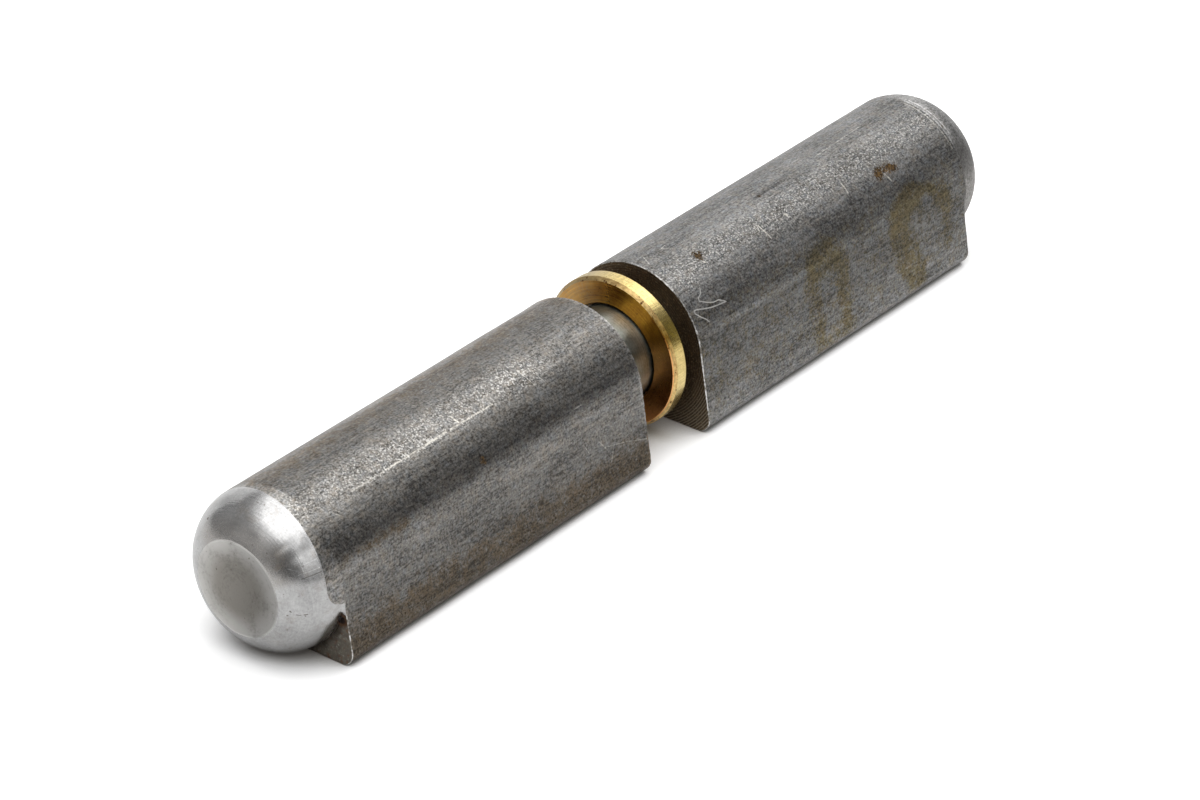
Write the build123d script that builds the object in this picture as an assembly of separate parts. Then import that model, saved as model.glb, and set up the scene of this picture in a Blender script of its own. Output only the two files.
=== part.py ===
from build123d import *
from math import cos, radians, sin, sqrt, tan
import os

# Weld-on barrel hinge: two leaves of drawn teardrop bar, a loose steel pin and a brass washer.
# Millimetres. +X runs along the hinge axis from the near leaf to the far one and +Z is up.
# Both leaves lie on one of the two flats of their section, nose towards -Y, and are drawn
# apart along the axis, so that the pin and the washer show between them.

# The drawn section: a round with two flats tangent to it, which meet in a rounded nose.
barrel_diameter = 16.0
flats_angle = 82.0              # between the two flats
nose_radius = 1.5
barrel_length = 49.3            # from the cut inner face to the disc on the turned end

# The turned outer end: a flat disc, a round shoulder and a short parallel stretch.
end_disc_diameter = 9.9
end_disc_edge_radius = 0.25
shoulder_radius = 5.4
turned_length = 5.34            # from the disc to the step that the tool left on the nose
near_turned_diameter = 16.34
far_turned_diameter = 16.1
near_turning_offset = (-0.08, -0.13)    # the lathe's centre from the bar's, across and up
far_turning_offset = (0.0, 0.0)

# The pin and its two blind holes.
pin_diameter = 10.0
pin_length = 80.0
pin_chamfer = 0.8
pin_running_clearance = 0.05    # on the radius, in both leaves
bore_depth = 40.0               # parallel part, before the drill's point
drill_point_angle = 118.0
bore_mouth_chamfer = 0.4
pin_seat_clearance = 0.2        # from the pin's foot to the end of the far hole

# The washer.
washer_diameter = 16.0
washer_thickness = 2.0
washer_pin_clearance = 0.2      # on the radius
washer_outer_chamfer = 0.35
washer_bore_chamfer = 0.15

# How far the pieces are drawn apart.
near_gap = 5.05                 # near leaf to washer
far_gap = 2.1                   # washer to far leaf

barrel_radius = barrel_diameter / 2
nose_tip_reach = barrel_radius / tan(radians(flats_angle / 2))
nose_arc_reach = nose_tip_reach - nose_radius / tan(radians(flats_angle / 2))
nose_reach = nose_arc_reach + nose_radius

# The origin is on the ground below the middle of the whole.
overall_length = 2 * barrel_length + near_gap + washer_thickness + far_gap
near_end_x = -overall_length / 2
near_face_x = near_end_x + barrel_length
washer_x = near_face_x + near_gap
far_face_x = washer_x + washer_thickness + far_gap
far_end_x = far_face_x + barrel_length
axis_y = (nose_reach - barrel_radius) / 2
axis_z = barrel_radius
bore_diameter = pin_diameter + 2 * pin_running_clearance


def drawn_section():
    """The teardrop face of the bar, in the YZ plane."""
    centre = Vector(axis_y, axis_z)
    tip = Vector(axis_y - nose_tip_reach, axis_z - barrel_radius)
    lower_tangent = Vector(axis_y, axis_z - barrel_radius)
    slope = radians(flats_angle)
    upper_tangent = tip + Vector(cos(slope), sin(slope)) * nose_tip_reach
    away_from_nose = radians(flats_angle / 2)
    back = centre + Vector(cos(away_from_nose), sin(away_from_nose)) * barrel_radius
    flats = Polyline(lower_tangent, tip, upper_tangent)
    section = make_face(flats + ThreePointArc(upper_tangent, back, lower_tangent))
    nose = section.vertices().sort_by(Axis.X)[0]
    return Plane.YZ * fillet(nose, nose_radius)


def turned_end(turned_diameter, turning_offset):
    """The solid of revolution that the lathe left, from its disc at x = 0 towards +X."""
    turned_radius = turned_diameter / 2
    disc_radius = end_disc_diameter / 2
    arc_centre_r = turned_radius - shoulder_radius
    shoulder_length = sqrt(shoulder_radius**2 - (disc_radius - arc_centre_r)**2)
    half_angle = radians(45)
    arc_middle = (
        shoulder_length - shoulder_radius * cos(half_angle),
        arc_centre_r + shoulder_radius * sin(half_angle),
    )
    profile = make_face(
        Polyline((0, disc_radius), (0, 0), (turned_length, 0), (turned_length, turned_radius),
                 (shoulder_length, turned_radius))
        + ThreePointArc((shoulder_length, turned_radius), arc_middle, (0, disc_radius))
    )
    disc_edge = profile.vertices().sort_by_distance((0, disc_radius))[0]
    profile = fillet(disc_edge, end_disc_edge_radius)
    across, up = turning_offset
    body = revolve(Plane.XZ * profile, Axis.X)
    return Pos(0, axis_y + across, axis_z + up) * body


def blind_hole():
    """The pin's hole, from its chamfered mouth at x = 0 to the drill's point, towards +X."""
    radius = bore_diameter / 2
    point_length = radius / tan(radians(drill_point_angle / 2))
    mouth_radius = radius + bore_mouth_chamfer
    profile = make_face(
        Polyline((0, 0), (0, mouth_radius), (bore_mouth_chamfer, radius),
                 (bore_depth, radius), (bore_depth + point_length, 0), close=True)
    )
    return Pos(0, axis_y, axis_z) * revolve(Plane.XZ * profile, Axis.X)


def leaf(turned_diameter, turning_offset):
    """A leaf with its disc at x = 0 and its cut face at x = barrel_length."""
    section = drawn_section()
    end_stretch = extrude(section, turned_length, dir=(1, 0, 0))
    rest_length = barrel_length - turned_length
    bar = Pos(turned_length, 0, 0) * extrude(section, rest_length, dir=(1, 0, 0))
    body = bar + (end_stretch & turned_end(turned_diameter, turning_offset))
    hole = mirror(blind_hole(), Plane.YZ)
    return body - Pos(barrel_length, 0, 0) * hole


def hinge_pin():
    """The pin, standing on its foot at x = 0, towards +X."""
    body = Rot(0, 90, 0) * Cylinder(
        pin_diameter / 2, pin_length, align=(Align.CENTER, Align.CENTER, Align.MIN)
    )
    rims = body.edges().filter_by(GeomType.CIRCLE)
    return Pos(0, axis_y, axis_z) * chamfer(rims, pin_chamfer)


def washer():
    """The washer, with its near face at x = 0."""
    hole_radius = pin_diameter / 2 + washer_pin_clearance
    ring = Circle(washer_diameter / 2) - Circle(hole_radius)
    body = extrude(Plane.YZ * ring, washer_thickness)
    rims = body.edges().filter_by(GeomType.CIRCLE).sort_by(SortBy.RADIUS)
    body = chamfer(rims[-2:], washer_outer_chamfer)
    rims = body.edges().filter_by(GeomType.CIRCLE).sort_by(SortBy.RADIUS)
    body = chamfer(rims[:2], washer_bore_chamfer)
    return Pos(0, axis_y, axis_z) * body


near_barrel = Pos(near_end_x, 0, 0) * leaf(near_turned_diameter, near_turning_offset)
far_barrel = Pos(far_end_x, 0, 0) * mirror(
    leaf(far_turned_diameter, far_turning_offset), Plane.YZ
)
pin_foot_x = far_face_x + bore_depth - pin_seat_clearance
pin = Pos(pin_foot_x - pin_length, 0, 0) * hinge_pin()

nodes = {
    "near_barrel": near_barrel,
    "far_barrel": far_barrel,
    "pin": pin,
    "washer": Pos(washer_x, 0, 0) * washer(),
}

os.makedirs("parts", exist_ok=True)
for name, shape in nodes.items():
    export_step(shape, os.path.join("parts", name + ".step"))
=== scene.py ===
from math import atan2, cos, pi, radians, sin, sqrt, tan

import bmesh
import bpy
import numpy as np
from mathutils import Matrix, Vector


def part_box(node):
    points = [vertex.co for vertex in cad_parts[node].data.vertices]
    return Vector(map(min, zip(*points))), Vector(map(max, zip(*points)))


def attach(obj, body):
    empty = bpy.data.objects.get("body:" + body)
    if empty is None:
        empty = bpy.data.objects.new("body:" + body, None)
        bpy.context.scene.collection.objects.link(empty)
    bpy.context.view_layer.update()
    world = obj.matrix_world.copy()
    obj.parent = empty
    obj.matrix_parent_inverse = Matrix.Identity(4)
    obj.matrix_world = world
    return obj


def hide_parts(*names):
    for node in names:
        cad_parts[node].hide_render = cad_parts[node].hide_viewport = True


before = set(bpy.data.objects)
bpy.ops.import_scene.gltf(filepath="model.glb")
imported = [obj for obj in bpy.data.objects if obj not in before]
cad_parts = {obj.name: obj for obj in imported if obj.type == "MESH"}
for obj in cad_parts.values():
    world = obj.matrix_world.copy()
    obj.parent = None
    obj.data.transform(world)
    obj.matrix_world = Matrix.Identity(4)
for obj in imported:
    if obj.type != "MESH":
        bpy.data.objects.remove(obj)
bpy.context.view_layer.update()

# ------------------------ sizes, in millimetres
MM = 0.001

near_low, near_high = (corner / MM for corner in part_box("near_barrel"))
far_low, far_high = (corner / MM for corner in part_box("far_barrel"))
pin_low, pin_high = (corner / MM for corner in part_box("pin"))
washer_low, washer_high = (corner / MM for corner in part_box("washer"))

axis_y = (pin_low.y + pin_high.y) / 2
axis_z = (pin_low.z + pin_high.z) / 2
barrel_length = near_high.x - near_low.x
barrel_radius = near_high.z - axis_z
pin_radius = (pin_high.z - pin_low.z) / 2

# The drawn section: two flats tangent to the round, with a rounded nose between them.
flats_angle = radians(82.0)
nose_radius = 1.5
tip_reach = barrel_radius / tan(flats_angle / 2)
flat_length = tip_reach - nose_radius / tan(flats_angle / 2)

# The turned end. The lathe's centre is given from the bar's own, and line_x is how far from
# the disc the tool has left its mark all round, even where it took nothing off.
disc_radius = 4.95
disc_edge_radius = 0.25
shoulder_radius = 5.4
turned_length = 5.34
near_turning = {"radius": 8.17, "centre": Vector((-0.08, -0.13)), "line_x": 0.0}
far_turning = {"radius": 8.05, "centre": Vector((0.0, 0.0)), "line_x": 4.9}
sharp_step = 0.45               # a lower step on the nose has no burr and isn't grimy
step_lip = 0.5                  # the tool's run-out where the step is low
lip_fades = (0.25, 0.5)         # the heights of the step between which the run-out ends
step_start = 5.0                # the length along the profile at the step's foot
burr_width = 0.08               # of the bright burr along the nose's step

# The blind hole and the cut face round it.
bore_radius = pin_radius + 0.05
bore_depth = 40.0
bore_mouth_chamfer = 0.4
drill_half_angle = radians(59.0)
drill_point_length = bore_radius / tan(drill_half_angle)
face_edge_bevel = 0.08

# The washer and the pin.
washer_hole_radius = pin_radius + 0.2
washer_radius = (washer_high.z - washer_low.z) / 2
washer_outer_chamfer = 0.35
washer_bore_chamfer = 0.15
pin_chamfer = 0.8

# The meshes.
skin_step = 0.2                 # size of the faces round the drawn section
ring_step = 0.22                # and along it
wave_depth = 0.02               # of the shallow waves in the drawn skin
tool_depth = 0.004              # of the tool's marks round the pin and the washer
weld_grid = 2e-4                # points that round to the same place on it become one
crease_angle = radians(32)      # an edge between faces that turn more is shaded sharp
behind_top = 12.0               # so far behind the top line, s is counted back from it

# A leaf's zones, each with a material of its own.
DRAWN, TURNED, CUT, EDGE, BORE, DISC, STEP = range(7)


# ------------------------ the drawn section
def section_outline():
    """The teardrop about the axis, from the top line over to the nose and back round.

    Gives y and z, and the length s along the skin, for each point and for the first again."""
    side = Vector((cos(flats_angle), sin(flats_angle)))
    tip = Vector((-tip_reach, -barrel_radius))
    nose_gap = tip_reach - flat_length
    nose_centre = tip + Vector((nose_gap, nose_radius))
    side_normal = pi / 2 + flats_angle
    points = []

    def arc(centre, radius, start, end):
        count = int(radius * (end - start) / skin_step) + 8
        for k in range(count):
            a = start + (end - start) * k / count
            points.append(centre + radius * Vector((cos(a), sin(a))))

    def line(start, end):
        count = int((end - start).length / skin_step)
        for k in range(count):
            points.append(start.lerp(end, k / count))

    arc(Vector((0, 0)), barrel_radius, pi / 2, side_normal)
    line(tip + side * tip_reach, tip + side * nose_gap)
    arc(nose_centre, nose_radius, side_normal, 3 * pi / 2)
    line(tip + Vector((nose_gap, 0)), Vector((0, -barrel_radius)))
    arc(Vector((0, 0)), barrel_radius, 3 * pi / 2, 5 * pi / 2)
    outline = np.array([*points, points[0]])
    steps = np.hypot(*np.diff(outline, axis=0).T)
    return outline, np.concatenate([[0], np.cumsum(steps)])


outline, outline_s = section_outline()
section = np.hypot(*outline.T)          # how far the drawn skin is from the axis
toward_y, toward_z = outline.T / section    # and in which direction
back_s = outline_s[-1] - behind_top


def skin_s(s):
    """The length along the skin, negative behind the top line."""
    return np.where(s > back_s, s - outline_s[-1], s)


# ------------------------ meshes
def joined(*columns):
    """The columns as the last axis of one array."""
    return np.stack(np.broadcast_arrays(*columns), axis=-1)


def new_object(name, data):
    made = bpy.data.objects.new(name, data)
    bpy.context.scene.collection.objects.link(made)
    return made


def ring_mesh(name, points, zones, skin, marks, materials, flip=False):
    """A closed skin over rings of points, in millimetres, each ring with its first point again.

    zones is the material of each face, skin what the materials read as "skin", and marks
    four columns that they read as "marks" and a last one that they read as "tone"."""
    rings, around = points.shape[:2]
    flat = points.reshape(-1, 3)
    keys = np.round(flat / weld_grid).astype(np.int64)
    _, first, inverse = np.unique(keys, axis=0, return_index=True, return_inverse=True)
    inverse = inverse.reshape(rings, around)
    faces, corners, face_zones = [], [], []
    for k in range(rings - 1):
        for j in range(around - 1):
            loop = [(k, j), (k, j + 1), (k + 1, j + 1), (k + 1, j)]
            if flip:
                loop.reverse()
            ids = [int(inverse[c]) for c in loop]
            kept = [i for i in range(4) if ids[i] != ids[i - 1]]
            if len({ids[i] for i in kept}) < 3:
                continue
            faces.append([ids[i] for i in kept])
            corners.extend(loop[i] for i in kept)
            face_zones.append(zones[k, j])
    mesh = bpy.data.meshes.new(name)
    mesh.from_pydata((flat[first] * MM).tolist(), [], faces)
    mesh.polygons.foreach_set("material_index", np.array(face_zones, np.int32))
    mesh.polygons.foreach_set("use_smooth", np.ones(len(faces), bool))
    index = np.array(corners)
    marks = joined(*marks).reshape(-1, 5)[first]
    for read_as, kind, domain, key, values in (
            ("skin", "FLOAT_VECTOR", "CORNER", "vector", skin[index[:, 0], index[:, 1]]),
            ("marks", "FLOAT_COLOR", "POINT", "color", marks[:, :4]),
            ("tone", "FLOAT", "POINT", "value", marks[:, 4])):
        made = mesh.attributes.new(read_as, kind, domain)
        made.data.foreach_set(key, values.astype(np.float32).ravel())
    for zone in range(len(materials)):
        mesh.materials.append(materials[zone])
    edit = bmesh.new()
    edit.from_mesh(mesh)
    for edge in edit.edges:
        if len(edge.link_faces) == 2:
            one, other = edge.link_faces
            creased = edge.calc_face_angle(0.0) > crease_angle
            edge.smooth = not creased and one.material_index == other.material_index
    edit.to_mesh(mesh)
    edit.free()
    return new_object(name, mesh)


def rise(value, low, high):
    """0 up to low and 1 from high on, with a smooth rise between."""
    t = np.clip((value - low) / (high - low), 0, 1)
    return t * t * (3 - 2 * t)


def shares(count):
    """Even shares of a way, up to the whole."""
    return np.linspace(0, 1, count + 1)[1:]


def hump(value, centre, width):
    """1 at the centre, falling smoothly to 0 at the width on both sides."""
    return 1 - rise(np.abs(value - centre), 0, width)


def ripples(rng, x, s, lengths, count):
    """A sum of shallow waves over the skin, about -1 to 1, closed round the section."""
    total = 0
    for _ in range(count):
        turns = rng.integers(0, 7)
        length = rng.uniform(*lengths) * rng.choice((-1, 1))
        phase = rng.uniform(0, 2 * pi)
        total = total + np.sin(2 * pi * (turns * s / outline_s[-1] + x / length) + phase)
    return total / sqrt(count)


def dents(x, s, places):
    """Depth of small round dents, each given as x, s, radius and depth."""
    total = 0
    for dent_x, dent_s, radius, depth in places:
        away = np.hypot(x - dent_x, s - dent_s) / radius
        total = total + depth * np.clip(1 - away**2, 0, 1) ** 2
    return total


class Rings(list):
    """The rings of a leaf's skin, each with its values at every point of the section."""

    def add(self, x, reach, zone, length, on_skin=0):
        """One more ring at x, so far from the axis, at a length along the profile.

        The zone is that of the faces before it. Any of these may differ round the ring."""
        columns = (x, reach, zone, length, on_skin)
        self.append([np.broadcast_to(column, section.shape) for column in columns])


def turned_rings(rings, turning, ragged):
    """The turned end: the disc, its rounded edge, the shoulder and the parallel stretch.

    Where the bar lies inside the turned radius the tool spared it. On the nose it left a
    step, with a burr along the top where the step is high."""
    centre, turned_radius = turning["centre"], turning["radius"]
    along = toward_y * centre.x + toward_z * centre.y

    def reach(radius):
        """How far a circle about the lathe's centre is from the bar's own centre."""
        return along + np.sqrt(along**2 - centre.length_squared + radius**2)

    arc_r = turned_radius - shoulder_radius
    shoulder_x = sqrt(shoulder_radius**2 - (disc_radius - arc_r) ** 2)
    inner = shoulder_radius - disc_edge_radius
    rim_r = arc_r + sqrt(inner**2 - (shoulder_x - disc_edge_radius) ** 2)
    rim_angle = atan2(shoulder_x - disc_edge_radius, rim_r - arc_r)
    from_centre = np.hypot(outline[:, 0] - centre.x, outline[:, 1] - centre.y)
    spared = from_centre < turned_radius
    skin_angle = np.arccos(np.clip((from_centre - arc_r) / shoulder_radius, -1, 1))
    skin_angle = np.where(spared, skin_angle, 0.0)
    skin_x = shoulder_x - shoulder_radius * np.sin(skin_angle)
    turned_reach = np.minimum(section, reach(turned_radius))

    rings.add(0.0, 0.0, DISC, 0.0)
    for radius in np.linspace(0.9, rim_r, 12):
        rings.add(0.0, reach(radius), DISC, radius)
    for a in np.linspace(0, pi / 2 - rim_angle, 6)[1:]:
        rings.add(disc_edge_radius * (1 - cos(a)), reach(rim_r + disc_edge_radius * sin(a)),
                  TURNED, rim_r + disc_edge_radius * a)
    for part in shares(29):
        a = rim_angle + (skin_angle - rim_angle) * part
        rings.add(shoulder_x - shoulder_radius * np.sin(a),
                  reach(arc_r + shoulder_radius * np.cos(a)),
                  TURNED, rim_r + shoulder_radius * (rim_angle - a))

    step = section - turned_reach
    is_step = step > sharp_step
    lip = step_lip * (1 - rise(step, *lip_fades)) * (step > 1e-4)
    lip = np.minimum(lip, turned_length - skin_x)
    line_end = np.clip(turning["line_x"] - skin_x, 0, turned_length - lip - skin_x)
    for part in shares(3):
        x = skin_x + line_end * part
        rings.add(x, turned_reach, TURNED, rim_r + shoulder_radius + x)
    beside_step = np.where(spared, DRAWN, TURNED)
    for part in shares(4):
        x = skin_x + line_end + (turned_length - lip - skin_x - line_end) * part
        rings.add(x, turned_reach, beside_step, rim_r + shoulder_radius + x)
    burr = np.where(is_step, burr_width * ragged, 0)
    step_zone = np.where(is_step, STEP, beside_step)
    for part in shares(16):
        rings.add(turned_length - lip * (1 - part) ** 2,
                  turned_reach + np.minimum(step * part, np.maximum(step - burr, 0)),
                  step_zone, step_start + part)
    rings.add(turned_length + burr, section, np.where(is_step, EDGE, step_zone), step_start + 1)


def drawn_rings(rings, ragged):
    """The drawn body, the bevel rubbed round the cut face, the face and the blind hole."""
    rings.add(turned_length + 0.2, section, DRAWN, step_start + 1)
    for x in np.arange(turned_length + 0.3, barrel_length - 2 * face_edge_bevel, ring_step):
        rings.add(x, section, DRAWN, x, on_skin=1)
    bevel = face_edge_bevel * ragged
    rings.add(barrel_length - bevel, section, DRAWN, 0)
    face_reach = section - bevel
    rings.add(barrel_length, face_reach, EDGE, 0)
    mouth_radius = bore_radius + bore_mouth_chamfer
    for part in shares(15):
        rings.add(barrel_length, face_reach + (mouth_radius - face_reach) * part, CUT, part)
    rings.add(barrel_length - bore_mouth_chamfer, bore_radius, EDGE, 0)
    for x in np.linspace(barrel_length - 1, barrel_length - bore_depth, 14):
        rings.add(x, bore_radius, BORE, x)
    rings.add(barrel_length - bore_depth - drill_point_length, 0.0, BORE, 0)


def leaf(name, turning, end_x, inward, seed, dent_places, marks_at, materials):
    """A leaf's whole skin, from the disc at end_x inward to the drill's point in its hole."""
    rng = np.random.default_rng(seed)
    ragged = 0.6 + 0.8 * rng.random(len(section))
    ragged[-1] = ragged[0]
    rings = Rings()
    turned_rings(rings, turning, ragged)
    drawn_rings(rings, ragged)
    xs, reaches, zones, lengths, on_skin = np.array(rings).transpose(1, 0, 2)
    zones = zones[1:, :-1].astype(int)
    s = np.broadcast_to(outline_s, xs.shape)
    waves = np.clip(ripples(rng, xs, s, lengths=(9, 60), count=14), -1, 1)
    depth = wave_depth + wave_depth * waves
    fade = rise(xs, turned_length + 0.2, turned_length + 3)
    fade = fade * rise(barrel_length - xs, 0, 2)
    depth = depth * fade + dents(xs, skin_s(s), dent_places)
    reaches = reaches - depth * on_skin

    at_lathe_centre = (reaches == 0) & (xs == 0)
    centre_y = np.where(at_lathe_centre, turning["centre"].x, 0.0)
    centre_z = np.where(at_lathe_centre, turning["centre"].y, 0.0)
    points = joined(end_x + inward * xs, axis_y + centre_y + toward_y * reaches,
                    axis_z + centre_z + toward_z * reaches)
    drawn = (on_skin > 0) | (np.abs(reaches - section) < 0.01)
    s = skin_s(s)
    skin = joined(np.where(drawn, xs, lengths), s, reaches)
    marks = marks_at(xs, s)
    return ring_mesh(name, points, zones, skin, marks, materials, flip=inward < 0)


def revolved(name, profile, around, seed, marks_at, materials):
    """A solid of revolution about the hinge axis, from a profile of x, radius, step and zone.

    The step is the size of its faces up to that point, and around is how many there are
    round it. Its s runs from the top line, as a leaf's does."""
    xs, radii, zones = [profile[0][0]], [profile[0][1]], []
    for (x0, r0, _, _), (x1, r1, step, zone) in zip(profile, profile[1:]):
        count = max(int(sqrt((x1 - x0) ** 2 + (r1 - r0) ** 2) / step), 1)
        for k in range(1, count + 1):
            xs.append(x0 + (x1 - x0) * k / count)
            radii.append(r0 + (r1 - r0) * k / count)
            zones.append(zone)
    xs, radii = np.array(xs), np.array(radii)
    lengths = np.concatenate([[0], np.cumsum(np.hypot(np.diff(xs), np.diff(radii)))])
    rng = np.random.default_rng(seed)
    scored = radii * (1 - tool_depth * rng.random(len(xs)) / max(radii))
    scored[-1] = scored[0]
    angles = np.linspace(0, 2 * pi, around + 1)
    circle = joined(np.cos(angles), np.sin(angles))
    circle[-1] = circle[0]
    points = joined(xs[:, None], axis_y + scored[:, None] * circle[:, 0],
                    axis_z + scored[:, None] * circle[:, 1])
    skin = joined(lengths[:, None], (angles - pi / 2) * max(radii), radii[:, None])
    zones = np.repeat(np.array(zones)[:, None], around, axis=1)
    marks = marks_at(points[..., 0], skin[..., 1])
    return ring_mesh(name, points, zones, skin, marks, materials)


# ------------------------ material nodes
class Graph:
    """The nodes of a material or a world; each method adds nodes and gives the output to use."""

    def __init__(self, owner):
        self.owner = owner
        owner.use_nodes = True
        self.tree = owner.node_tree
        self.tree.nodes.clear()

    def node(self, kind, inputs=None, output=0, **settings):
        made = self.tree.nodes.new("ShaderNode" + kind)
        for key, value in settings.items():
            setattr(made, key, value)
        for key, value in (inputs or {}).items():
            if isinstance(value, bpy.types.NodeSocket):
                self.tree.links.new(value, made.inputs[key])
            else:
                made.inputs[key].default_value = value
        return made.outputs[output]

    def math(self, operation, *values, clamp=False):
        return self.node("Math", dict(enumerate(values)), operation=operation, use_clamp=clamp)

    def times(self, one, other):
        return self.math("MULTIPLY", one, other)

    def clamped(self, value):
        return self.math("ADD", value, 0.0, clamp=True)

    def vector(self, operation, *values, output=0):
        return self.node("VectorMath", dict(enumerate(values)), output, operation=operation)

    def scaled(self, vector, factor):
        return self.node("VectorMath", {0: vector, "Scale": factor}, operation="SCALE")

    def position(self):
        """The place on the object, in millimetres."""
        place = self.node("TexCoord", output=3)
        return self.vector("MULTIPLY", place, (1 / MM,) * 3)

    def attribute(self, name, output=1):
        return self.node("Attribute", output=output, attribute_name=name)

    def marks(self):
        """The first three of the piece's marks: wear, stain and rust on a leaf."""
        colour = self.attribute("marks", output=0)
        return self.node("SeparateColor", {0: colour}).node.outputs[:3]

    def parts(self, vector):
        made = self.node("SeparateXYZ", {0: vector}).node
        return made.outputs[0], made.outputs[1], made.outputs[2]

    def join(self, x=0.0, y=0.0, z=0.0):
        return self.node("CombineXYZ", {0: x, 1: y, 2: z})

    def with_painted_shading(self, colour):
        """The colour scaled by the piece's tone, which on the leaves is painted light and shade.
        """
        return self.scaled(colour, self.attribute("tone", output=2))

    def noise(self, vector, scale, detail, roughness, stretch=None):
        if stretch:
            vector = self.vector("MULTIPLY", vector, stretch)
        return self.node("TexNoise", {
            "Vector": vector, "Scale": scale, "Detail": detail, "Roughness": roughness})

    def ramp(self, value, low, high, bottom=0.0, top=1.0):
        """The bottom where the value is at low and the top where it is at high, smoothly."""
        return self.node("MapRange", {
            0: value, 1: low, 2: high, 3: bottom, 4: top}, interpolation_type="SMOOTHSTEP")

    def weigh(self, *terms, base=0.0):
        """The base plus each value times its weight."""
        total = base
        for value, weight in terms:
            total = self.math("MULTIPLY_ADD", value, weight, total)
        return total

    def mix(self, factor, a, b, blend="MIX"):
        def colour(c):
            return (*c, 1.0) if isinstance(c, tuple) else c
        return self.node("Mix", {0: factor, 6: colour(a), 7: colour(b)}, 2,
                         data_type="RGBA", blend_type=blend)

    def scratches(self, skin, marks):
        """How strong thin straight marks are, each x, s, x, s, width and strength."""
        x, s, _ = self.parts(skin)
        place = self.join(x, s)
        total = 0.0
        for x0, s0, x1, s1, width, strength in marks:
            run = Vector((x1 - x0, s1 - s0, 0))
            local = self.vector("SUBTRACT", place, (x0, s0, 0))
            reach = self.vector("DOT_PRODUCT", local, tuple(run / run.length_squared), output=1)
            nearest = self.scaled(tuple(run), self.clamped(reach))
            away = self.vector("DISTANCE", local, nearest, output=1)
            line = self.ramp(away, width, 0.3 * width, 0.0, strength)
            total = self.math("MAXIMUM", total, line)
        return total

    def finish(self, colour, metallic, roughness, height, relief, **others):
        """The surface; relief is how many millimetres a height of 1 stands out."""
        inputs = {"Base Color": colour, "Metallic": metallic, "Roughness": roughness}
        for key, value in others.items():
            inputs[key.replace("_", " ")] = value
        inputs["Normal"] = self.node("Bump", {"Distance": relief * MM, "Height": height})
        shader = self.node("BsdfPrincipled", inputs)
        return self.output(shader, "Material")

    def output(self, shader, kind):
        end = self.tree.nodes.new("ShaderNodeOutput" + kind)
        self.tree.links.new(shader, end.inputs[0])
        return self.owner


def new_material(name):
    return Graph(bpy.data.materials.new(name))


def drawn_steel(name, light, dark, stain_tint, base_roughness, scratches, threads=()):
    """Cold-drawn bar as it comes: dull grey with a fine speckled grain, worn, stained, rusty,
    sooty, and with painted light and shade.
    """
    g = new_material(name)
    place = g.position()
    skin = g.attribute("skin")
    wear, stain, rust = g.marks()
    soot_and_painted_shade = g.attribute("marks", output=3)
    grain = g.noise(place, 4.4, 2.0, 0.7)
    specks = g.noise(place, 5.0, 1.0, 0.5)
    fibres = g.noise(place, 1.0, 2.0, 0.6, stretch=(1.5, 6.0, 6.0))
    streaks = g.noise(place, 1.0, 3.0, 0.6, stretch=(0.10, 3.0, 3.0))
    blotches = g.noise(place, 1.0, 3.0, 0.6, stretch=(0.18, 0.45, 0.45))
    tone = g.weigh((grain, 1.9), (fibres, 1.1), (streaks, 0.75), (blotches, 0.8), base=-1.87)
    colour = g.mix(g.clamped(tone), dark, light)
    warmth = g.noise(place, 1.3, 3.0, 0.7)
    colour = g.mix(g.ramp(warmth, 0.50, 0.68), colour, (1.05, 0.99, 0.92), "MULTIPLY")
    colour = g.mix(g.ramp(warmth, 0.50, 0.32), colour, (0.94, 0.99, 1.06), "MULTIPLY")
    flecks = g.times(g.ramp(specks, 0.52, 0.68), wear)
    colour = g.mix(flecks, colour, (0.80, 0.78, 0.74))
    pits = g.ramp(g.noise(place, 2.7, 2.0, 0.6), 0.40, 0.31)
    colour = g.mix(g.times(pits, 0.55), colour, (0.05, 0.045, 0.04))
    stained = g.weigh((stain, 1.15), (g.noise(place, 0.9, 5.0, 0.8), 3.0), (specks, 1.2),
                      base=-2.25)
    stained = g.times(g.ramp(stained, 0.0, 1.05), g.ramp(stain, 0.0, 0.25))
    colour = g.mix(stained, colour, stain_tint, "MULTIPLY")
    # Soot, and painted shade where the marks give a band of it.
    sooty_and_shaded = g.times(soot_and_painted_shade, g.ramp(grain, 0.3, 0.7, 1.0, 0.5))
    colour = g.mix(sooty_and_shaded, colour, (0.040, 0.038, 0.038))
    rough_rust = g.weigh((rust, 1.0), (g.noise(place, 4.5, 3.0, 0.8), 4.0), base=-2.1)
    rusted = g.times(g.ramp(rough_rust, 0.25, 0.7), g.ramp(rust, 0.02, 0.2))
    rust_colour = g.mix(g.ramp(grain, 0.35, 0.7), (0.022, 0.012, 0.005), (0.21, 0.125, 0.045))
    colour = g.mix(rusted, colour, rust_colour)
    scored = g.scratches(skin, scratches)
    scored = g.times(scored, g.ramp(grain, 0.40, 0.60, 0.35, 1.0))
    colour = g.mix(scored, colour, (0.90, 0.86, 0.78))
    colour = g.with_painted_shading(colour)
    metallic = g.ramp(rusted, 0.0, 1.0, 1.0, 0.6)
    if threads:
        thread = g.scratches(skin, threads)
        colour = g.mix(thread, colour, (0.62, 0.61, 0.58))
        metallic = g.times(metallic, g.math("SUBTRACT", 1.0, thread))
    roughness = g.weigh((grain, 0.16), (blotches, 0.10), (flecks, -0.10), (rusted, 0.3),
                        (stained, 0.06), base=base_roughness)
    height = g.weigh((grain, 1.0), (fibres, 0.6), (specks, 0.4), (pits, -0.6), (streaks, 0.5))
    return g.finish(colour, metallic, roughness, height, relief=0.018)


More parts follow.
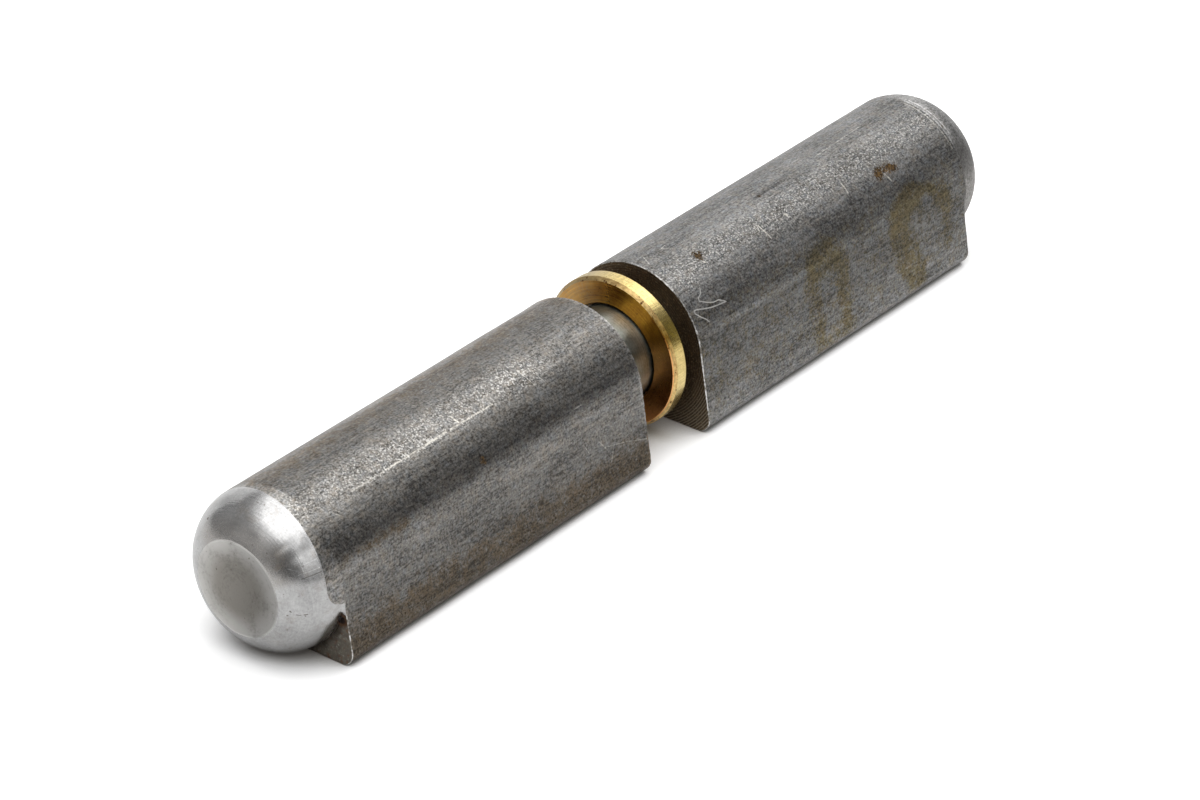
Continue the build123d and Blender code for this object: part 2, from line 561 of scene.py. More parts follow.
def turned_steel(name, tint, spread, base_roughness, relief, grain, scratches, nicks=()):
    """Lathe-turned steel: fine lines round the axis, brown smears, bright and dark marks, and
    painted light and shade from its tone.

    spread is how far its brightness goes from the tint's, and grain is how strong its
    speckle is beside its lines."""
    g = new_material(name)
    place = g.position()
    skin = g.attribute("skin")
    along, around, _ = g.parts(skin)
    _, stain, _ = g.marks()
    lines = g.noise(g.join(along, g.times(around, 0.05)), 6.0, 3.0, 0.7)
    smears = g.noise(place, 0.40, 3.0, 0.6)
    fine = g.noise(place, 4.0, 3.0, 0.75)
    tone = g.weigh((smears, 1.0), (lines, 0.7), (fine, 1.3 * grain), base=-0.35 - 0.65 * grain)
    colour = g.mix(g.clamped(tone), tuple((1 - spread) * c for c in tint),
                   tuple((1 + spread) * c for c in tint))
    brown = g.ramp(g.noise(place, 0.7, 4.0, 0.7), 0.50, 0.72, 0.0, 0.40)
    stained = g.times(stain, g.ramp(fine, 0.25, 0.65, 0.35, 1.0))
    brown = g.math("MAXIMUM", brown, stained)
    colour = g.mix(brown, colour, tuple(c * m for c, m in zip(tint, (0.66, 0.58, 0.50))))
    spots = g.ramp(g.noise(place, 1.9, 2.0, 0.5), 0.30, 0.24)
    colour = g.mix(spots, colour, (0.14, 0.12, 0.10))
    if nicks:
        colour = g.mix(g.scratches(skin, nicks), colour, (0.08, 0.065, 0.05))
    scored = g.times(g.scratches(skin, scratches), g.ramp(fine, 0.40, 0.60, 0.3))
    colour = g.mix(scored, colour, (0.85, 0.85, 0.84))
    roughness = g.weigh((smears, 0.12), (lines, 0.08), (fine, 0.05), (brown, 0.15),
                        base=base_roughness)
    height = g.weigh((lines, 1.0), (fine, 0.35 * grain))
    return g.finish(g.with_painted_shading(colour), 1.0, roughness, height, relief)


def disc_steel(name, middle, rim):
    """The flat end disc: satin, dull and warm in the middle, and darker on the side of the nose
    by painted shade.
    """
    g = new_material(name)
    place = g.position()
    _, y, _ = g.parts(place)
    along, around, _ = g.parts(g.attribute("skin"))
    smears = g.noise(place, 0.45, 3.0, 0.6)
    fine = g.noise(place, 3.5, 3.0, 0.75)
    lines = g.noise(g.join(along, g.times(around, 0.04)), 5.0, 2.0, 0.6)
    outwards = g.math("ADD", along, g.weigh((smears, 1.2), base=-0.6))
    colour = g.mix(g.ramp(outwards, 2.2, disc_radius + 0.25), middle, rim)
    # Painted shade: darker towards the side of the nose.
    colour = g.mix(g.ramp(y, axis_y + 3.5, axis_y - 3.5), colour, (0.62, 0.62, 0.62), "MULTIPLY")
    tone = g.weigh((smears, 0.9), (fine, 0.9), (lines, 0.5), base=-0.15)
    colour = g.mix(g.clamped(tone), (0.02, 0.018, 0.016), colour)
    spots = g.ramp(g.noise(place, 1.5, 2.0, 0.6), 0.29, 0.23)
    colour = g.mix(spots, colour, (0.10, 0.08, 0.06))
    rubbed = g.times(g.ramp(along, disc_radius - 0.28, disc_radius - 0.12),
                     g.ramp(smears, 0.38, 0.62, 0.05, 0.6))
    colour = g.mix(rubbed, colour, (0.60, 0.59, 0.57))
    roughness = g.weigh((smears, 0.12), (fine, 0.10), base=0.30)
    height = g.weigh((fine, 1.0), (smears, 1.0), (lines, 0.7))
    return g.finish(colour, 1.0, roughness, height, relief=0.02)


def step_steel(name, pit):
    """The step that the tool left on the nose: grimy, with a rusty pit, and darkest at its foot,
    where shade is painted.
    """
    g = new_material(name)
    place = g.position()
    _, y, z = g.parts(place)
    place_across = g.join(y, z)
    radius = g.vector("DISTANCE", place_across, (axis_y, axis_z, 0.0), output=1)
    worn = g.noise(place, 1.3, 4.0, 0.7)
    fine = g.noise(place, 4.5, 3.0, 0.7)
    colour = g.mix(worn, (0.055, 0.045, 0.033), (0.26, 0.235, 0.195))
    colour = g.mix(g.ramp(fine, 0.52, 0.75), colour, (0.36, 0.34, 0.31))
    rust = g.ramp(g.noise(place, 1.9, 3.0, 0.7), 0.52, 0.70, 0.0, 0.8)
    colour = g.mix(rust, colour, (0.17, 0.075, 0.03))
    # Painted shade: darkest at the step's foot, beside the turned surface.
    foot = g.ramp(g.weigh((radius, 1.0), (worn, 0.9), base=-0.45), barrel_radius + 0.15,
                  barrel_radius + 1.3, 0.9, 0.0)
    colour = g.mix(foot, colour, (0.020, 0.014, 0.009))
    away = g.vector("DISTANCE", place_across, (*pit, 0.0), output=1)
    away = g.weigh((away, 1.0), (fine, 0.5), base=-0.25)
    colour = g.mix(g.ramp(away, 0.95, 0.5), colour, (0.10, 0.05, 0.025))
    colour = g.mix(g.ramp(away, 0.55, 0.3), colour, (0.012, 0.006, 0.004))
    roughness = g.weigh((worn, 0.25), base=0.42)
    return g.finish(colour, 0.85, roughness, g.weigh((worn, 1.0), (fine, 0.8)), relief=0.05)


def cut_steel(name):
    """The sawn and faced end: oily dark brown steel with the tool's fine arcs."""
    g = new_material(name)
    place = g.position()
    _, y, z = g.parts(place)
    off_axis = g.join(g.math("SUBTRACT", y, axis_y), g.math("SUBTRACT", z, axis_z))
    radius = g.vector("LENGTH", off_axis, output=1)
    feed = 0.26                 # from one of the tool's arcs to the next
    arcs = g.math("SINE", g.times(radius, 2 * pi / feed))
    worn = g.noise(place, 1.1, 4.0, 0.65)
    shown = g.times(g.ramp(arcs, -0.2, 0.9), g.ramp(radius, 7.2, 9.5, 0.1, 0.7))
    colour = g.mix(worn, (0.014, 0.009, 0.005), (0.155, 0.112, 0.064))
    fine = g.noise(place, 5.0, 3.0, 0.7)
    colour = g.mix(g.ramp(fine, 0.52, 0.70), colour, (0.25, 0.205, 0.14))
    colour = g.mix(shown, colour, (0.34, 0.29, 0.22))
    roughness = g.weigh((worn, 0.25), base=0.34)
    height = g.weigh((arcs, 0.4), (fine, 0.6))
    return g.finish(colour, 0.85, roughness, height, relief=0.02)


def edge_steel(name):
    """The bright ragged line where a cut edge has been rubbed."""
    g = new_material(name)
    place = g.position()
    worn = g.noise(place, 1.6, 4.0, 0.8)
    colour = g.mix(g.ramp(worn, 0.37, 0.61), (0.15, 0.135, 0.115), (0.80, 0.79, 0.77))
    roughness = g.weigh((worn, 0.2), base=0.22)
    return g.finish(colour, 1.0, roughness, worn, relief=0.03)


def bore_steel(name):
    """The oily drilled hole."""
    g = new_material(name)
    along, _, _ = g.parts(g.position())
    lines = g.noise(g.join(along), 3.0, 2.0, 0.6)
    colour = g.mix(lines, (0.05, 0.045, 0.04), (0.20, 0.19, 0.17))
    return g.finish(colour, 1.0, g.weigh((lines, 0.2), base=0.3), lines, relief=0.01)


def pin_steel(name):
    """Ground pin steel, satin grey, with painted shade in a band along its side."""
    g = new_material(name)
    place = g.position()
    along, _, _ = g.parts(g.attribute("skin"))
    lines = g.noise(g.join(along), 6.0, 3.0, 0.6)
    film = g.noise(place, 0.6, 3.0, 0.6)
    fine = g.noise(place, 4.0, 2.0, 0.7)
    _, painted_shade_band, _ = g.marks()
    tone = g.weigh((lines, 1.2), (film, 0.9), (fine, 0.6), base=-0.85)
    colour = g.mix(g.clamped(tone), (0.104, 0.118, 0.109), (0.45, 0.49, 0.455))
    # Painted shade: darker in a band along the side.
    colour = g.mix(painted_shade_band, colour, (0.56, 0.59, 0.58), "MULTIPLY")
    roughness = g.weigh((lines, 0.08), (film, 0.14), base=0.23)
    around = g.node("Tangent", direction_type="RADIAL", axis="X")
    height = g.weigh((lines, 1.0), (fine, 0.5))
    return g.finish(colour, 1.0, roughness, height, relief=0.006,
                    Anisotropic=0.85, Anisotropic_Rotation=0.25, Tangent=around)


def brass(name, light, dark, line_scale, around_scale, base_roughness, spotted):
    """Turned brass: dull where it has been handled, olive or bronze where it has tarnished,
    darker where shade is painted.

    The scales are of its fine lines, along the profile and around the axis, and spotted is
    the level of noise under which there are dark spots."""
    g = new_material(name)
    place = g.position()
    along, around, _ = g.parts(g.attribute("skin"))
    handled, greened, tarnished = g.marks()
    lines = g.join(g.times(along, line_scale), g.times(around, around_scale))
    lines = g.noise(lines, 1.0, 3.0, 0.7)
    cloud = g.noise(place, 0.45, 3.0, 0.65)
    fine = g.noise(place, 3.5, 3.0, 0.7)
    tone = g.weigh((lines, 1.9), (cloud, 1.4), (fine, 0.9), base=-1.6)
    colour = g.mix(g.clamped(tone), dark, light)
    mottled = g.ramp(fine, 0.3, 0.65, 0.6, 1.0)
    dull = g.times(handled, mottled)
    colour = g.mix(dull, colour, (0.34, 0.265, 0.145))
    bronzed = g.times(g.attribute("tone", output=2), mottled)
    colour = g.mix(bronzed, colour, (0.97, 0.44, 0.16))
    olive = g.times(greened, mottled)
    colour = g.mix(olive, colour, (0.96, 0.86, 0.36), "MULTIPLY")
    # The third mark is painted shade on the face.
    colour = g.mix(tarnished, colour, (0.45, 0.42, 0.40), "MULTIPLY")
    spots = g.ramp(g.noise(place, 2.4, 2.0, 0.5), spotted, spotted - 0.06)
    colour = g.mix(spots, colour, (0.12, 0.05, 0.02))
    roughness = g.weigh((cloud, 0.12), (lines, 0.08), (dull, 0.20), base=base_roughness)
    height = g.weigh((lines, 1.0), (fine, 0.4))
    return g.finish(colour, 1.0, roughness, height, relief=0.008)


# ------------------------ the pieces
# Painted light and shade on the drawn steel: how bright it is in bands round the section, where,
# and on the two leaves.
painted_shading_s = (-4, -1, 1, 3, 5, 7, 9, 11, 15, 19, 26, 34)
near_painted_shading = (1.08, 0.63, 0.51, 0.67, 0.88, 1.14, 0.56, 0.79, 0.59, 0.54, 0.85, 1.0)
far_painted_shading = (0.96, 0.88, 0.77, 0.66, 0.75, 1.07, 0.80, 0.57, 0.69, 0.98, 0.95, 0.96)


def between(value, start, full, fade, end):
    """Rises from 0 at the start to 1 at full, and falls from fade to 0 again at the end."""
    return rise(value, start, full) * (1 - rise(value, fade, end))


def strongest(*marks):
    """The strongest of the marks at each place."""
    return np.max(np.broadcast_arrays(*marks), axis=0)


# Painted reflections on the near turned end, light and dark bars where the room is mirrored: x,
# its half width, s, its half width, change.
dome_painted_reflections = [(2.7, 1.1, 6.7, 0.8, -0.45), (1.8, 0.8, 7.6, 0.6, 0.75),
                (3.5, 0.9, 7.6, 0.7, 0.45), (2.3, 1.0, 5.7, 1.0, -0.34),
                (2.7, 1.2, 9.4, 1.4, -0.34), (2.6, 1.1, -3.8, 2.4, -0.28),
                (4.7, 0.9, -2.9, 2.2, 0.38), (0.3, 0.5, 1.9, 5.5, 0.38),
                (0.8, 0.7, 4.0, 1.8, 0.32), (1.45, 0.6, 2.8, 1.8, -0.34),
                (1.4, 0.8, 5.95, 0.5, 0.90), (4.1, 0.8, 7.2, 1.4, 1.00),
                (3.9, 0.6, 4.9, 1.1, 0.42)]


# The marks of a piece at x and s: wear, stain, rust, soot and painted shade, and tone, which
# on a leaf is painted light and shade. A leaf's x is measured from its disc, and that of the pin
# and the washer is the frame's.
def near_marks(x, s):
    """Worn along the top, stained on the dome, behind and below, with one rusty pit, two dark
    dents and a band of painted shade down the side; the tone is painted light and shade.
    """
    wear = hump(s, 3.3, 3.4) * (0.50 + 0.35 * hump(x, 22, 26) + 0.5 * hump(x, 35.3, 4.5))
    wear = wear * (1 - 0.6 * rise(x, 37.5, 42.0))
    line = hump(s, 4.76, 0.45) * between(x, 11, 13, 30.5, 32)
    wear = wear + line * 0.5
    border = hump(s, 9.9, 1.0) * between(x, 5.0, 6.5, 14.5, 17)
    on_body = strongest(between(s, 14, 18, 23, 33) * 0.85 + hump(s, -2.4, 3.4) * 0.70,
                        0.7 * border)
    on_dome = strongest(0.5 * hump(x, 0.3, 1.5) * between(s, -9, -6, 9.0, 10.5),
                        0.8 * hump(x, 0.9, 1.0) * hump(s, 6.3, 2.6),
                        hump(x, 0.65, 0.75) * hump(s, 7.2, 1.2))
    stain = np.where(x < turned_length - 0.6, on_dome, on_body)
    low = between(s, 16.2, 18.2, 23, 33) * (1 - 0.8 * hump(x, 21, 9))
    rust = np.where(x > turned_length + 0.3, 0.22 * low, 0.0)
    rust = strongest(rust, dents(x, s, [(26.4, 8.85, 0.65, 1.2)]))
    # A band of painted shade down the round side, and two dark dents.
    soot_and_painted_shade = strongest(0.25 * between(s, 6.2, 7.6, 8.8, 10.2),
                     dents(x, s, [(24, 9.8, 0.6, 0.7), (26.3, 8.4, 0.5, 1.3)]))
    rubbed = rise(x, barrel_length - 0.4, barrel_length - 0.15)
    # Painted reflections: the near turned end's tone, lighter and darker in bars where the room
    # is mirrored.
    handled = 1 + sum(change * hump(x, x0, half_x) * hump(s, s0, half_s)
                      for x0, half_x, s0, half_s, change in dome_painted_reflections)
    # Round the drawn skin the tone is the painted light and shade of the bands, brighter where
    # the cut edge is rubbed.
    tone = np.interp(s, painted_shading_s, near_painted_shading) * (1 + 0.7 * rubbed)
    tone = np.where(x > turned_length, tone, handled)
    return wear, stain, rust, soot_and_painted_shade, tone


def arch(inner, s, centre, reach, spring, height, lean, left, right):
    """A stain in the shape of an arch; each limb has a half width, an end and a strength."""
    on_left = inner < centre
    aside = inner - centre - np.where(on_left, lean * np.maximum(s - spring, 0), 0)
    above = np.minimum(s - spring, 0) * reach / height
    from_line = np.abs(np.hypot(aside, above) - reach)
    half, end, strength = (np.where(on_left, a, b) for a, b in zip(left, right))
    limb = 1 - (1 - strength) * rise(s, spring - 0.5, spring + 2)
    limb = limb * (1 - rise(from_line, half - 1.3, half + 1.2))
    return limb * (1 - rise(s, end - 0.8, end + 0.5))


def far_marks(x, s):
    """Worn along the top, with two olive stains, specks of rust, a dark seam, a band of painted
    shade down the side, and painted light and shade in its tone.
    """
    inner = barrel_length - x           # from the cut face
    wear = hump(s, 3.5, 3.5) * 0.8 + 0.4 * hump(inner, 2.4, 2.2) * hump(s, 4.9, 1.8)
    blob = hump(inner, 35.0, 3.0) * hump(s, 18.2, 2.0)
    blob = blob + hump(inner, 33.4, 2.8) * hump(s, 15.5, 3.0)
    stain = strongest(
        arch(inner, s, 20.5, 2.4, 11.9, 2.4, 0.1, (1.4, 19.9, 0.70), (1.35, 19.9, 0.85)),
        arch(inner, s, 36.8, 4.0, 12.2, 2.8, 0.40, (2.2, 18.2, 0.82), (1.3, 17.2, 0.66)),
        0.85 * hump(inner, 20.5, 3.2) * between(s, 9, 10.5, 12, 13.4),
        0.75 * hump(inner, 20.6, 3.4) * hump(s, 18.6, 2.4),
        np.minimum(1.5 * blob, 0.9),
        0.32 * between(s, 6, 9, 17, 21))
    rust = dents(inner, s, [(6.0, 2.95, 1.1, 1.0), (33.2, 5.5, 1.1, 1.0), (34.6, 5.7, 1.1, 1.1),
                            (32.6, 5.9, 0.9, 0.8), (35.4, 6.0, 0.8, 0.8), (18.7, 0.7, 0.4, 0.9)])
    seam = hump(s, 0.6, 0.34) * between(inner, 17.5, 19, 22.5, 24)
    dashes = hump(s, 0.1, 0.25) * between(inner, 6.8, 7.2, 8.6, 9)
    # A band of painted shade down the round side, less towards the turned end.
    soot_and_painted_shade = 0.35 * between(s, 5.4, 7.0, 8.6, 10.2)
    soot_and_painted_shade = strongest(soot_and_painted_shade * (1 - 0.7 * rise(inner, 38, 43)), seam, 0.6 * dashes)
    # Painted light and shade: bands round the drawn skin, a thin bright line near s 10.3, and on
    # the turned end a darker band and a lighter one.
    tone = np.interp(s, painted_shading_s, far_painted_shading)
    tone = tone * (1 + hump(s, 10.3, 0.4) * (0.15 + 0.15 * rise(28 - inner, 0, 4)))
    turned_painted_shading = 1.15 - 0.55 * hump(s, 9.0, 4.0) + 0.25 * hump(s, 11.6, 1.6)
    tone = np.where(x < far_turning["line_x"] - 0.02, turned_painted_shading, tone)
    return wear, stain, rust, soot_and_painted_shade, tone


def washer_marks(x, s):
    """Dull at the top, olive and bronzed, with painted shade on the face where it mirrors the
    near leaf's dark cut face; here the tone is how bronzed it is.
    """
    on_face = x < washer_low.x + 0.1
    dull = 0.7 * strongest(rise(-s, -1.5, 4.5), rise(s, 24, 32))
    by_far_side = rise(x, washer_low.x + 1.2, washer_low.x + 1.7)
    olive = strongest(hump(s, 8.0, 2.8), 0.7 * hump(s, 27, 5),
                      0.7 * hump(s, 17.4, 1.4) * by_far_side)
    # Painted shade on the face, where it mirrors the near leaf's dark cut face.
    painted_face_shade = on_face * 0.6 * hump(s, 7.8, 2.4)
    bronzed = on_face * 0.85 * between(s, 6.5, 8.8, 20, 26)
    return dull, olive, painted_face_shade, 0.0, bronzed


def pin_marks(x, s):
    """Painted shade in a band along its side, and nothing else."""
    return 0.0, between(s, 4.6, 5.6, 7.6, 9.0), 0.0, 0.0, 0.0


# Scratches and lines, each x, s, x, s, width and strength. On the far leaf's drawn skin
# they are measured from the cut face, and on a turned end x is the length along the profile.
near_scratches = [
    (36.2, 3.2, 36.6, 5.4, 0.06, 0.7), (37.4, 3.6, 37.9, 5.8, 0.05, 0.6),
    (26.1, 3.7, 26.3, 4.6, 0.14, 1.0), (24.3, -0.4, 24.5, 0.5, 0.06, 0.7),
    (28.0, 0.2, 28.1, 1.0, 0.06, 0.7), (7.6, 5.5, 8.2, 6.1, 0.07, 0.7),
    (7.9, 5.3, 8.6, 6.0, 0.06, 0.6), (40.0, 13.4, 40.5, 14.4, 0.06, 0.6),
    (42.1, 13.9, 43.1, 15.2, 0.07, 0.6), (42.9, 14.9, 46.0, 15.7, 0.07, 0.6),
    (46.0, 15.7, 49.0, 16.7, 0.06, 0.5), (44.1, 15.4, 43.6, 16.8, 0.07, 0.6),
    (39.5, 9.4, 40.6, 9.4, 0.07, 0.7), (11.0, 4.76, 15.8, 4.76, 0.09, 0.5),
    (15.8, 4.76, 20.6, 4.76, 0.13, 0.9), (20.8, 4.76, 24.3, 4.72, 0.17, 1.0),
    (25.0, 4.74, 31.0, 4.80, 0.13, 0.9),
]
inner_far_scratches = [
    (14.9, 3.6, 15.1, 5.5, 0.11, 1.0), (14.4, 3.5, 14.5, 4.2, 0.10, 0.8),
    (27.8, 4.5, 27.7, 5.7, 0.11, 0.9), (33.6, 6.0, 33.9, 7.0, 0.11, 0.9),
    (29.0, 0.1, 37.0, -0.3, 0.08, 0.5), (18.8, 4.1, 18.9, 4.3, 0.24, 1.0),
    (1.65, -0.45, 0.95, 0.8, 0.07, 0.8), (4.7, 0.5, 4.1, -0.2, 0.07, 0.6),
    (4.1, -0.2, 4.9, -0.4, 0.07, 0.6), (5.8, 3.85, 5.9, 3.95, 0.16, 0.9),
    (44.1, 0.0, 44.1, 7.5, 0.08, 0.7),
]
# A fine curly thread of lint dried onto the far leaf beside the washer.
lint = [(3.15, 5.85), (2.75, 6.4), (2.2, 6.65), (2.05, 6.95), (2.85, 7.45), (3.7, 7.8),
        (4.45, 7.85), (5.3, 8.4), (4.0, 8.25), (3.05, 8.1), (2.0, 7.8), (1.25, 7.55),
        (0.85, 7.5), (0.75, 7.8), (1.35, 8.45), (1.8, 8.8), (2.1, 9.2)]
lint_marks = [(x0, s0, x1, s1, 0.085, 0.65) for (x0, s0), (x1, s1) in zip(lint, lint[1:])]


def from_cut_face(marks):
    """Marks whose x is measured from the cut face, turned round to be from the disc."""
    return [(barrel_length - x0, s0, barrel_length - x1, s1, width, strength)
            for x0, s0, x1, s1, width, strength in marks]


dome_scratches = [(7.3, 9.0, 9.6, 9.15, 0.05, 0.7), (7.6, 8.2, 9.7, 8.3, 0.04, 0.6),
                  (6.7, 7.9, 7.5, 8.7, 0.06, 0.8), (7.9, 6.1, 7.9, 9.0, 0.05, 0.5),
                  (8.1, 6.3, 8.1, 9.1, 0.04, 0.4)]
dome_nicks = [(5.9, 13.2, 6.0, 13.35, 0.10, 0.9), (6.5, 13.7, 6.9, 13.8, 0.08, 0.7),
              (7.2, 13.7, 7.5, 13.65, 0.10, 0.8), (7.5, 9.5, 9.5, 9.55, 0.07, 0.6)]
far_lines = [(4.4, 0.0, 4.4, 6.5, 0.08, 0.6), (4.8, 0.0, 4.8, 7.5, 0.08, 0.7)]
both_leaves = {
    CUT: cut_steel("cut_steel"),
    EDGE: edge_steel("rubbed_edge"),
    BORE: bore_steel("drilled_steel"),
    STEP: step_steel("step_steel", pit=(-7.3, 4.9)),
}
near_materials = {
    **both_leaves,
    DRAWN: drawn_steel(
        "near_drawn_steel", light=(0.50, 0.480, 0.450), dark=(0.10, 0.095, 0.088),
        stain_tint=(0.76, 0.64, 0.50), base_roughness=0.27, scratches=near_scratches),
    TURNED: turned_steel(
        "near_turned_steel", tint=(0.46, 0.458, 0.455), spread=0.30, base_roughness=0.08,
        relief=0.009, grain=1.0, scratches=dome_scratches, nicks=dome_nicks),
    DISC: disc_steel("near_disc_steel", middle=(0.26, 0.246, 0.222), rim=(0.55, 0.54, 0.52)),
}
far_materials = {
    **both_leaves,
    DRAWN: drawn_steel(
        "far_drawn_steel", light=(0.48, 0.472, 0.458), dark=(0.095, 0.093, 0.089),
        stain_tint=(0.81, 0.69, 0.43), base_roughness=0.36,
        scratches=from_cut_face(inner_far_scratches), threads=from_cut_face(lint_marks)),
    TURNED: turned_steel(
        "far_turned_steel", tint=(0.29, 0.286, 0.28), spread=0.62, base_roughness=0.36,
        relief=0.018, grain=2.2, scratches=far_lines),
    DISC: disc_steel("far_disc_steel", middle=(0.24, 0.228, 0.21), rim=(0.38, 0.375, 0.37)),
}

near_leaf = leaf(
    "near_leaf_skin", near_turning, end_x=near_low.x, inward=1, seed=11,
    dent_places=[(26.2, 4.1, 0.5, 0.05), (14.0, 6.0, 0.9, 0.03), (33.0, 12.0, 1.2, 0.03)],
    marks_at=near_marks, materials=near_materials)
far_leaf = leaf(
    "far_leaf_skin", far_turning, end_x=far_high.x, inward=-1, seed=12,
    dent_places=[(30.4, 4.2, 0.5, 0.05), (21.0, 12.0, 1.2, 0.03)],
    marks_at=far_marks, materials=far_materials)

pin_piece = revolved(
    "pin_body",
    [(pin_low.x, 0, 1, 0), (pin_low.x, pin_radius - pin_chamfer, 0.8, 0),
     (pin_low.x + pin_chamfer, pin_radius, 0.3, 0), (near_high.x - 2, pin_radius, 1.5, 0),
     (far_low.x + 2, pin_radius, 0.1, 0), (pin_high.x - pin_chamfer, pin_radius, 1.5, 0),
     (pin_high.x, pin_radius - pin_chamfer, 0.3, 0), (pin_high.x, 0, 0.8, 0)],
    around=160, seed=13, marks_at=pin_marks, materials=[pin_steel("ground_pin_steel")])

w0, w1 = washer_low.x, washer_high.x
washer_piece = revolved(
    "washer_ring",
    [(w0 + washer_bore_chamfer, washer_hole_radius, 1, 0),
     (w0, washer_hole_radius + washer_bore_chamfer, 0.1, 0),
     (w0, washer_radius - washer_outer_chamfer, 0.09, 0),
     (w0 + washer_outer_chamfer, washer_radius, 0.08, 1),
     (w1 - washer_outer_chamfer, washer_radius, 0.08, 2),
     (w1, washer_radius - washer_outer_chamfer, 0.08, 1),
     (w1, washer_hole_radius + washer_bore_chamfer, 0.15, 0),
     (w1 - washer_bore_chamfer, washer_hole_radius, 0.1, 0),
     (w0 + washer_bore_chamfer, washer_hole_radius, 0.2, 0)],
    around=240, seed=14, marks_at=washer_marks, materials=[
        brass("washer_face_brass", light=(1.00, 0.50, 0.060), dark=(0.40, 0.140, 0.024),
              line_scale=5.0, around_scale=0.15, base_roughness=0.14, spotted=0.31),
        brass("washer_chamfer_brass", light=(0.94, 0.69, 0.30), dark=(0.34, 0.19, 0.065),
              line_scale=4.0, around_scale=1.5, base_roughness=0.22, spotted=0.38),
        brass("washer_rim_brass", light=(0.94, 0.75, 0.33), dark=(0.54, 0.40, 0.15),
              line_scale=0.6, around_scale=5.0, base_roughness=0.14, spotted=0.28)])

for piece, node, body, finish in (
        (near_leaf, "near_barrel", "near_leaf", "barrel_steel"),
        (far_leaf, "far_barrel", "far_leaf", "barrel_steel"),
        (pin_piece, "pin", "pin", "pin_steel"),
        (washer_piece, "washer", "washer", "washer_brass")):
    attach(piece, body)
    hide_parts(node)


# ------------------------ floor, light and camera
def white_stage(name, mirrored):
    """A white surface that camera and mirror rays see as plain white, shadows kept, with a
    painted contact shadow near the object.

    mirrored is how strongly it glows for mirror rays."""
    g = new_material(name)
    path = g.node("LightPath").node
    seen = g.math("MAXIMUM", path.outputs["Is Camera Ray"], path.outputs["Is Glossy Ray"])
    seen = g.math("MAXIMUM", seen, path.outputs["Is Transmission Ray"])
    openness = g.node("AmbientOcclusion", {"Distance": 0.04}, 1, samples=8)
    # Painted contact shadow: darker where ambient occlusion finds the object near.
    shaded = g.mix(g.ramp(openness, 0.05, 0.45), (0.42, 0.39, 0.36), (0.92, 0.92, 0.92))
    shaded = g.mix(path.outputs["Is Glossy Ray"], shaded, (0.93, 0.93, 0.93), "MULTIPLY")
    colour = g.mix(seen, (0.75, 0.75, 0.75), shaded)
    plain = g.node("BsdfDiffuse", {"Color": colour})
    # The glow fades near the object too, part of the painted contact shadow.
    openness = g.ramp(openness, 0.15, 0.85)
    glow = g.mix(path.outputs["Is Camera Ray"], (mirrored,) * 3, (0.40,) * 3)
    glow = g.times(g.parts(glow)[0], g.times(seen, openness))
    lift = g.node("Emission", {"Strength": glow})
    both = g.node("AddShader", {0: plain, 1: lift})
    return g.output(both, "Material")


def floor_disc():
    """The floor, a wide disc a little under the object."""
    edit = bmesh.new()
    bmesh.ops.create_circle(edit, cap_ends=True, segments=96, radius=3.0)
    mesh = bpy.data.meshes.new("floor")
    edit.to_mesh(mesh)
    edit.free()
    floor = new_object("floor", mesh)
    floor.location.z = -0.02 * MM
    return floor


def curved_backdrop():
    """A sheet that curves up behind the object, a little above the floor."""
    rows, columns = 40, 96
    points, faces = [], []
    middle, spread = radians(50), radians(37)
    distance, bend, height = 1.1, 0.25, 0.75
    for row in range(rows):
        t = row / (rows - 1) * (pi / 2 * bend + height)
        if t < pi / 2 * bend:
            out_by = bend * sin(t / bend)
            up_by = bend * (1 - cos(t / bend))
        else:
            out_by, up_by = bend, bend + t - pi / 2 * bend
        for column in range(columns):
            a = middle + spread * (2 * column / (columns - 1) - 1)
            reach = distance + out_by
            points.append((reach * cos(a), reach * sin(a), up_by + MM))
    for row in range(rows - 1):
        for column in range(columns - 1):
            first = row * columns + column
            faces.append((first, first + 1, first + columns + 1, first + columns))
    mesh = bpy.data.meshes.new("backdrop")
    mesh.from_pydata(points, [], faces)
    mesh.polygons.foreach_set("use_smooth", np.ones(len(faces), bool))
    return new_object("backdrop", mesh)


def direction(azimuth, elevation):
    """The unit vector to a place round the object, in degrees, azimuth from +X towards +Y."""
    a, e = radians(azimuth), radians(elevation)
    return cos(a) * cos(e), sin(a) * cos(e), sin(e)


def area_lamp(name, place, distance, size, radiance, shift=(0, 0), turn=0):
    """A soft box at an azimuth and elevation that looks at the object, turned on itself."""
    towards = Vector(direction(*place))
    width, height = size
    data = bpy.data.lights.new(name, "AREA")
    data.shape = "RECTANGLE"
    data.size, data.size_y = width, height
    data.energy = radiance * pi * width * height
    lamp = new_object(name, data)
    lamp.location = towards * distance + Vector((*shift, 0))
    lamp.rotation_euler = towards.to_track_quat("Z", "Y").to_euler()
    lamp.rotation_euler.rotate_axis("Z", radians(turn))


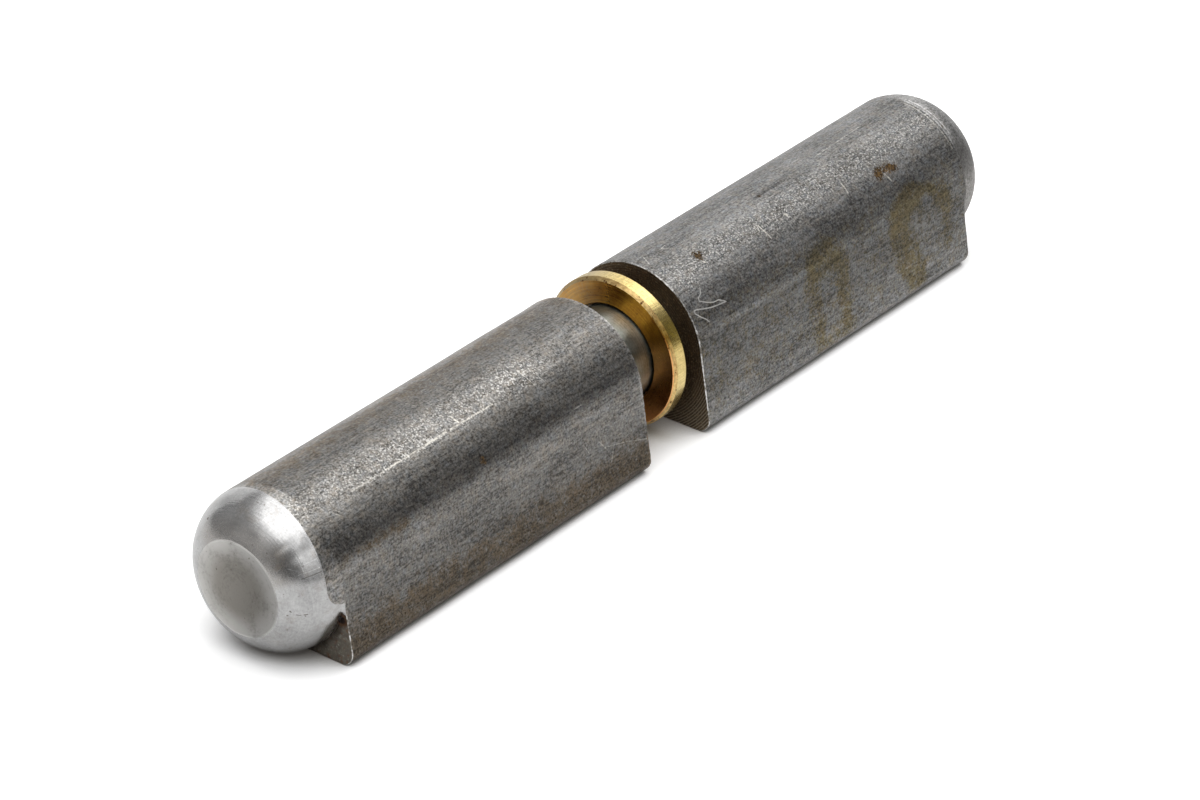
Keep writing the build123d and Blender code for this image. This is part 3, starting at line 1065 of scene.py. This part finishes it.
def room_light(level, lobes):
    """A dim grey room, lighter or darker towards a few directions.

    A lobe is an azimuth and elevation, its half width in degrees and its change of level."""
    world = bpy.data.worlds.new("room")
    bpy.context.scene.world = world
    g = Graph(world)
    looked = g.node("TexCoord", output=0)
    for azimuth, elevation, width, change in lobes:
        centre = direction(azimuth, elevation)
        towards = g.vector("DOT_PRODUCT", looked, centre, output=1)
        level = g.math("ADD", g.ramp(towards, cos(radians(width)), 1.0, 0.0, change), level)
    g.output(g.node("Background", {"Strength": level}), "World")


def photo_camera():
    """The camera where the photograph was taken from, fitted to the object's edges."""
    yaw, pitch, roll = radians(38.9892), radians(30.2767), radians(-0.5403)
    ahead = Vector((cos(yaw) * cos(pitch), sin(yaw) * cos(pitch), -sin(pitch)))
    right = ahead.cross(Vector((0, 0, 1))).normalized()
    up = right.cross(ahead)
    rolled_right = cos(roll) * right + sin(roll) * up
    rolled_up = cos(roll) * up - sin(roll) * right
    data = bpy.data.cameras.new("photo_camera")
    data.sensor_fit = "HORIZONTAL"
    data.sensor_width = 36.0
    data.lens = 154.925
    camera = new_object("photo_camera", data)
    turn = Matrix((rolled_right, rolled_up, -ahead)).transposed()
    place = Vector((-0.340702, -0.274235, 0.258390))
    camera.matrix_world = Matrix.Translation(place) @ turn.to_4x4()
    bpy.context.scene.camera = camera


for sheet, mirrored in ((floor_disc(), 0.0), (curved_backdrop(), 0.35)):
    sheet.data.materials.append(white_stage("white_" + sheet.name, mirrored))

area_lamp("top_core", (0, 90), distance=1.05, size=(2.00, 1.15), radiance=1.15,
          shift=(0.22, -0.04), turn=20)
area_lamp("top_halo", (0, 90), distance=1.06, size=(2.40, 1.60), radiance=0.65,
          shift=(0.20, -0.04), turn=20)
area_lamp("side_panel", (-100, 27), distance=0.9, size=(0.62, 0.72), radiance=0.85)
room_light(level=0.34, lobes=[(-58, 15, 60, -0.19), (-152, 12, 24, -0.18), (172, 22, 42, 0.18),
                              (115, 30, 45, 0.12), (0, 90, 62, 0.30)])
photo_camera()
bpy.context.scene.view_settings.view_transform = "Standard"
